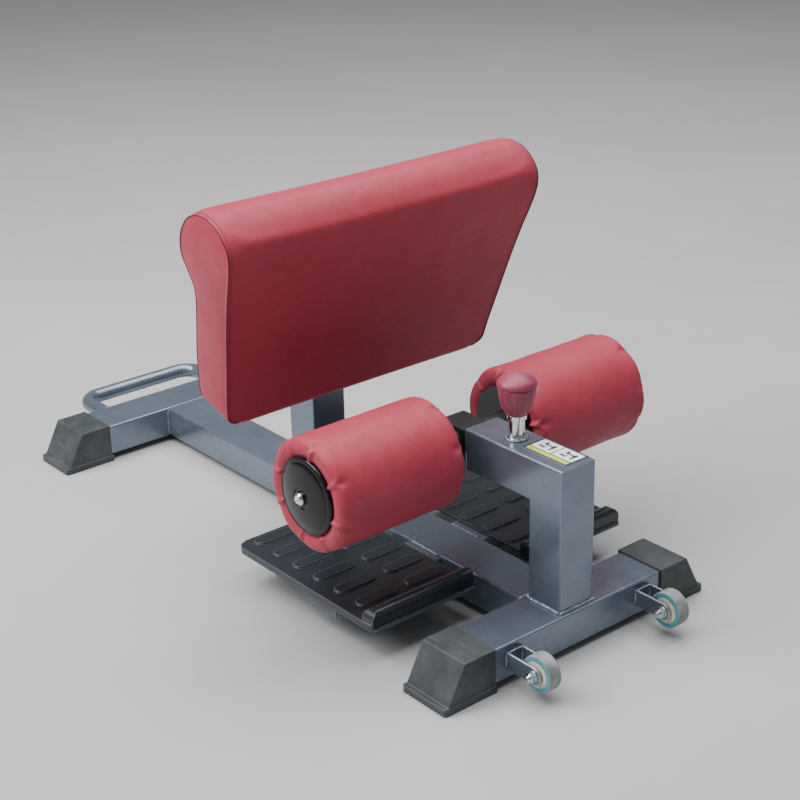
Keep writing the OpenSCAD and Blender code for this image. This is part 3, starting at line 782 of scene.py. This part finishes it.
def pleat_at(angle, shift):
    """(nearness to a pleat, from 0 to its strength; place between two pleats, from 0 to 1 to 0)."""
    turn = (angle - shift) % (2 * math.pi)
    near = 0.0
    starts = [p[0] for p in PLEATS] + [PLEATS[0][0] + 2 * math.pi]
    for at, depth in PLEATS:
        gap = abs((turn - at + math.pi) % (2 * math.pi) - math.pi)
        near = max(near, depth * math.exp(-((gap / PLEAT_WIDTH) ** 2)))
    lifted = turn if turn >= starts[0] else turn + 2 * math.pi
    for low, high in zip(starts, starts[1:]):
        if low <= lifted <= high:
            return near, math.sin(math.pi * (lifted - low) / (high - low))
    return near, 0.0


def roller_section():
    """(distance from the middle, radius, how far round the end it is) down one half of a roller."""
    half = (ROLLER_OUT - ROLLER_IN) / 2
    edge = 8.5
    line = [(x, ROLLER_R, 0.0) for x in range(0, 76, 5)]
    line += [(x, ROLLER_R, (x - 78) / 60) for x in (79, 83, 87, half - edge)]
    for k in range(1, 6):
        angle = math.pi / 2 * k / 5
        out, up = edge * math.sin(angle), edge * math.cos(angle)
        line.append((half - edge + out, ROLLER_R - edge + up, 0.3 + 0.06 * k))
    line += [(half + 0.4, 64, 0.7), (half + 0.4, 60, 0.8), (half, 56.5, 0.9), (half - 1.2, 53.5, 1.0)]
    return line + [(half - 3, 50, 1.0), (half - 5, 46, 1.0)]


def roller_point(x, r, way, angle, end, side):
    """One point of a roller's cover, with its pleats and its slight unevenness."""
    near, between = pleat_at(angle, pleat_shift(end, side))
    face = max(0.0, 1 - abs(way - 0.68) / 0.3)
    shoulder = min(way / 0.35, 1) * min(max((1 - way) * 5, 0), 1)
    gather = min(max((abs(x) - 80) / 14, 0), 1)
    r -= PLEAT_DIP * near * gather * min(max((1 - way) * 5, 0), 1)
    r += PUFF_ROUND * between * shoulder
    x_out = PUFF_OUT * between * face - PLEAT_PULL * near * shoulder
    bumpy = noise.noise(Vector((x * 0.03 + side * 9, math.cos(angle) * 2.1, math.sin(angle) * 2.1)))
    r += 0.7 * bumpy * (1 - way)
    x += math.copysign(x_out, x) if x else 0
    middle = (ROLLER_IN + ROLLER_OUT) / 2
    return place(side * (middle + x), ROLLER_Y + r * math.cos(angle), ARM_MID_Z + r * math.sin(angle))


def roller_cover(side):
    """Leather round a roller, gathered in pleats under the cap at each end."""
    half = roller_section()
    line = [(-x, r, way) for x, r, way in half[:0:-1]] + half
    angles = [2 * math.pi * k / ROLLER_SIDES for k in range(ROLLER_SIDES)]
    points, held, faces = [], [], []
    for x, r, way in line:
        end = -1 if x < 0 else 1
        for angle in angles:
            if is_pinned(way, pleat_at(angle, pleat_shift(end, side))[0]):
                held.append(len(points))
            points.append(roller_point(x, r, way, angle, end, side))
    for ring in range(len(line) - 1):
        quads = loop_faces(ring * ROLLER_SIDES, (ring + 1) * ROLLER_SIDES, ROLLER_SIDES)
        faces += [quad[::-1] for quad in quads] if side > 0 else quads
    cover = new_object("roller_cover_" + side_name(side), points, faces)
    inflate(cover, held, pressure=4.0, cap=0.0022)
    subdivide(cover)
    return cover


def is_pinned(way, near):
    """A roller's cover is held along its straight part, under the caps, and at each pleat."""
    return way == 0 or way > 0.9 or (way > 0.3 and near > 0.75)


def turned_to_x(side):
    """Turns +Z onto the outward side of the chair."""
    return Matrix.Rotation(side * math.pi / 2, 3, "Y")


def outer_cap(side):
    """Glossy domed end cap with a stepped rim and a dished middle."""
    profile = [(CAP_R - 4, -3), (CAP_R - 0.6, -2.4), (CAP_R, 0.2), (CAP_R - 0.4, 2.2), (CAP_R - 1.6, 3.1)]
    profile += [(50.6, 3.4), (50.0, 3.1), (49.4, 3.5), (47.4, 4.3), (46.8, 4.0), (46.2, 4.5)]
    profile += [(r, 11 - 8 * (r / CAP_R) ** 2) for r in (42, 36, 30, 24, 19, 16)]
    profile += [(14.6, 10.3), (13.8, 9.4), (12.5, 8.9), (9.8, 8.9), (9.2, 9.6), (9.0, 11.3), (5.5, 11.4)]
    centre = place(side * ROLLER_OUT, ROLLER_Y, ARM_MID_Z)
    made = lathe("roller_end_cap_" + side_name(side), profile, centre, turned_to_x(side), 128)
    smooth_by_angle(made, 50)
    return made


def build_rollers():
    """The cover and the outer cap of each ankle roller."""
    for side in (-1, 1):
        name = side_name(side)
        body = "roller_" + name
        cover = paint(roller_cover(side), "red_leather")
        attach(cover, body)
        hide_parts("roller_cushion_" + name)
        cap = paint(outer_cap(side), "black_gloss")
        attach(cap, body)
        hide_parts("roller_cap_outer_" + name)


# Adjustment knob

KNOB_Y = 122
KNOB_Z = 299.5
SKIRT_TOP = 39
FLUTES = 12
FLUTE_DEPTH = 1.2


def knob_radius(r, h, angle):
    """Shallow flutes on the skirt, fading out below the cap."""
    if h > SKIRT_TOP or r < 10:
        return r
    strength = min(1, max(0, h / 8)) * min(1, (SKIRT_TOP - h) / 5 + 0.3)
    return r - FLUTE_DEPTH * strength * (0.5 + 0.5 * math.cos(FLUTES * angle)) ** 2


def build_knob():
    """Fluted maroon knob with a smooth domed top."""
    skirt = [(13, 0.2), (15.2, 1.2), (17, 3), (19.2, 7), (21, 12), (22.4, 18)]
    skirt += [(23.6, 24), (24.6, 30), (25.2, 35)]
    groove = [(25.3, 37.8), (25.0, 38.6), (24.4, 38.9), (24.5, 39.4)]
    rim = [(25.8, 39.7), (26.3, 40.8), (26.2, 42.6)]
    dome = [(25.9, 43.8), (24.4, 46.6), (20, 50.2), (13, 53.6), (6, 55.6), (0.3, 56.2)]
    profile = [(4, 0.2), (10, 0)] + along(skirt, 16) + groove + rim + along(dome, 14)
    made = lathe("pull_knob", profile, place(0, KNOB_Y, KNOB_Z), Matrix.Identity(3), 144, knob_radius)
    smooth_by_angle(made, 55)
    paint(made, "knob_maroon")
    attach(made, "spring_pin")
    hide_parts("pin_knob")


# Label

FILM_TOP = ARM_TOP + 0.3
INK_TOP = ARM_TOP + 0.42


def plate(name, x0, x1, y0, y1, low, high):
    """A thin flat plate on the arm, in millimetres."""
    corners = [(x0, y0), (x1, y0), (x1, y1), (x0, y1)]
    points = [place(x, y, z) for z in (low, high) for x, y in corners]
    faces = [(3, 2, 1, 0), (4, 5, 6, 7)] + loop_faces(0, 4, 4)
    return new_object(name, points, faces, smooth=False)


def build_label():
    """Printed film on the arm, with plain blocks in place of its pictures and words."""
    ink = plastic("label_ink", (0.02, 0.025, 0.035), (0.04, 0.045, 0.055), 0.4, 0.0003)
    stripe = plastic("label_strip", (0.5, 0.62, 0.06), (0.58, 0.68, 0.12), 0.4, 0.0003)
    film = plate("label_film", -14, 28, 17.5, 97.5, ARM_TOP, FILM_TOP)
    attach(paint(film, "label_white"), "base")
    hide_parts("arm_label")
    blocks = [("label_strip", stripe, -11, -3.5, 21, 94)]
    blocks += [("label_edge_" + str(k), ink, *edge) for k, edge in enumerate(label_border())]
    blocks += [("label_picture_" + str(k), ink, *spot) for k, spot in enumerate(label_pictures())]
    for name, shader, x0, x1, y0, y1 in blocks:
        piece = plate(name, x0, x1, y0, y1, FILM_TOP, INK_TOP)
        piece.data.materials.append(shader)
        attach(piece, "base")


def label_border():
    """The dark outline and the lines between the strip and the two fields."""
    rims = [(-14, 28, 17.5, 21), (-14, 28, 94, 97.5), (-14, -11, 21, 94), (25, 28, 21, 94)]
    return rims + [(-3.5, -1.7, 21, 94), (-1.7, 25, 56.6, 58.4)]


def label_pictures():
    """The same few blocks in each of the two fields."""
    spots = []
    for y in (24, 62):
        spots += [(4, 8, y + 3, y + 7), (9, 19, y + 3, y + 8), (13, 16, y + 8, y + 22)]
        spots += [(16, 21, y + 18, y + 22), (3, 11, y + 14, y + 16), (5, 9, y + 17, y + 25)]
    return spots


# Welds

# Middles of the posts, where the beam's sides meet the crossbars, and the ends of those beads.
POSTS_Y = (37.5, 558)
CROSSBARS_Y = (74, 931)
BEAM_SIDE = 38
BEAM_WELD = (13, 57)

# The foot plates' supports, the handle's ends, and the wheel brackets with the ends of their beads.
PLATE_WELD = (236, 298)
PLATE_WELD_Z = 58
HANDLE_X = 110
WHEEL_X = 118
BRACKET_HALF = 14.5
BRACKET_WELD = (27, 49)

# The distance between the points of a bead, in metres, and the seed of its unevenness. Without a seed,
# noise_vector takes one from the clock, and the beads would differ from run to run.
WELD_STEP = 0.0011
WELD_SEED = 1


def weld_line(points, radius=3.0):
    """A ripple-surfaced bead through the points, in millimetres."""
    line = [tuple(place(*p)) for p in points]
    length = sum(math.dist(a, b) for a, b in zip(line, line[1:]))
    fine = [Vector(p) for p in spaced(line, max(int(length / WELD_STEP), 6))]
    for point in fine:
        point += noise.noise_vector(point * 160) * 0.0006
    ends = len(fine) - 1

    def swell(k):
        """Ripples along the bead, uneven, and tapered at both ends."""
        ripple = abs(math.sin(k * 0.72))
        taper = min(1, (k + 1) / 4, (ends - k + 1) / 4)
        return (0.82 + 0.3 * ripple + 0.25 * noise.noise(fine[k] * 220)) * taper

    return tube("weld", fine, radius * MM, 10, False, swell)


def post_weld(y_mid):
    """The bead round the foot of a post on the main beam."""
    half = 30.5
    z = BEAM_TOP + 0.6
    corners = [(-half, y_mid - half), (half, y_mid - half), (half, y_mid + half), (-half, y_mid + half)]
    return weld_line([(x, y, z) for x, y in corners + corners[:1]])


def round_weld(centre, radius, across, size):
    """A bead round a tube or sleeve: across is the plane's two axes."""
    ring = []
    for k in range(49):
        angle = 2 * math.pi * k / 48
        at = [*centre]
        at[across[0]] += radius * math.cos(angle)
        at[across[1]] += radius * math.sin(angle)
        ring.append(tuple(at))
    return weld_line(ring, size)


def build_welds():
    """Every weld on the frame, as one piece: the posts, what meets the beam and the crossbars on each
    side, and the knob's sleeve."""
    noise.seed_set(WELD_SEED)
    runs = [post_weld(y) for y in POSTS_Y]
    for side in (-1, 1):
        x = side * BEAM_SIDE
        for crossbar_y in CROSSBARS_Y:
            runs.append(weld_line([(x, crossbar_y, z) for z in BEAM_WELD]))
        runs.append(weld_line([(x, y, PLATE_WELD_Z) for y in PLATE_WELD]))
        runs.append(round_weld((side * HANDLE_X, 1006, 45), 12.4, (0, 2), 2.4))
        for edge in (-BRACKET_HALF, BRACKET_HALF):
            runs.append(weld_line([(side * WHEEL_X + edge, -1, z) for z in BRACKET_WELD], 2.4))
    runs.append(round_weld((0, KNOB_Y, ARM_TOP + 1), 14, (0, 1), 1.8))
    made = joined("weld_runs", runs)
    paint(made, "weld_bead")
    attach(made, "base")
    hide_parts("weld_beads")


def joined(name, objects):
    """One object in place of several."""
    points, faces = [], []
    for obj in objects:
        first = len(points)
        points += [v.co.copy() for v in obj.data.vertices]
        faces += [tuple(first + i for i in p.vertices) for p in obj.data.polygons]
        bpy.data.objects.remove(obj)
    return new_object(name, points, faces)


# Setting


def build_floor():
    """A plain pale floor, slightly cloudy."""
    floor = new_object("floor", [(-6, -6, 0), (6, -6, 0), (6, 6, 0), (-6, 6, 0)], [(0, 1, 2, 3)])
    s = Shader("floor", (0.45, 0.45, 0.45), 0.55)
    cloud = s.remap(s.noise(1.4, 5), 0.3, 0.7)
    s.colour(s.blend(cloud, (0.44, 0.44, 0.44), (0.48, 0.48, 0.48)))
    s.rough(s.remap(s.noise(8, 4), 0.3, 0.7, 0.5, 0.62))
    floor.data.materials.append(s.material)


def light(name, location, aim, size, watts):
    """A rectangular white lamp at one place, facing another."""
    lamp = bpy.data.lights.new(name, "AREA")
    lamp.shape = "RECTANGLE"
    lamp.size, lamp.size_y = size
    lamp.energy = watts
    made = bpy.data.objects.new(name, lamp)
    made.location = location
    made.rotation_euler = (Vector(aim) - Vector(location)).to_track_quat("-Z", "Y").to_euler()
    bpy.context.scene.collection.objects.link(made)


def build_light():
    """A dim bluish sky, a lamp at the back left and a wide soft one overhead."""
    world = bpy.data.worlds.new("studio")
    world.use_nodes = True
    sky = world.node_tree.nodes["Background"].inputs
    sky["Color"].default_value = (0.9, 0.94, 1, 1)
    sky["Strength"].default_value = 0.24
    bpy.context.scene.world = world
    light("key", (-2.4, 1.1, 2.6), (0, 0, 0.2), (2.0, 2.0), 110)
    light("top", (0.1, 0.2, 3.0), (0.1, 0.2, 0), (4.4, 3.0), 190)


def build_camera():
    """Seen from the front left and above, as in the reference view."""
    turn, tilt, roll = math.radians(39.23), math.radians(-23.14), math.radians(-1.38)
    forward = Vector((math.sin(turn) * math.cos(tilt), math.cos(turn) * math.cos(tilt), math.sin(tilt)))
    level = forward.cross(Vector((0, 0, 1))).normalized()
    upright = level.cross(forward)
    right = level * math.cos(roll) + upright * math.sin(roll)
    up = upright * math.cos(roll) - level * math.sin(roll)
    facing = Matrix((right, up, -forward)).transposed().to_4x4()
    lens = bpy.data.cameras.new("camera")
    lens.lens = 76.2
    lens.sensor_width = 36
    made = bpy.data.objects.new("camera", lens)
    made.matrix_world = Matrix.Translation((-1.3878, -1.8534, 1.1807)) @ facing
    bpy.context.scene.collection.objects.link(made)
    bpy.context.scene.camera = made


materials = make_materials()
paint_cad_nodes()
build_pad()
build_rollers()
build_knob()
build_label()
build_welds()
build_floor()
build_light()
build_camera()
